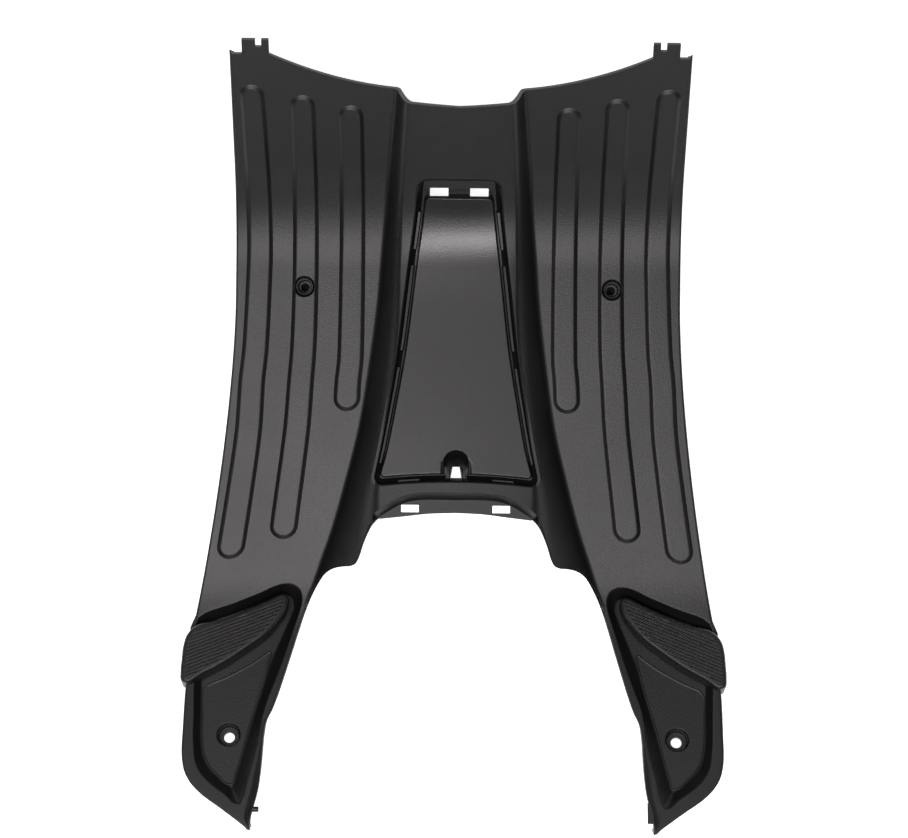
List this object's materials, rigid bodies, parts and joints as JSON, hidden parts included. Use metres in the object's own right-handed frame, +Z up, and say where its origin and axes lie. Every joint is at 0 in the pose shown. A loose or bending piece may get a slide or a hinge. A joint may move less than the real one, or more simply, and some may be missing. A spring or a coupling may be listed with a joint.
{
  "type": "scooter floorboard",
  "caption": "Moulded plastic step-through scooter floorboard with long foot ribs, a centre tunnel with a cover seat, and tails with ribbed passenger pads.",
  "frame": {"origin": "on the ground under the middle of the part's box", "axes": "+Y to the front of the scooter, +X to its right-hand side, +Z up"},
  "size_m": [0.397, 0.562, 0.1089],
  "materials": {
    "black_plastic": "satin black moulded polypropylene with a fine grain"
  },
  "bodies": {
    "root": {"floorboard": "black_plastic"}
  },
  "joints": []
}
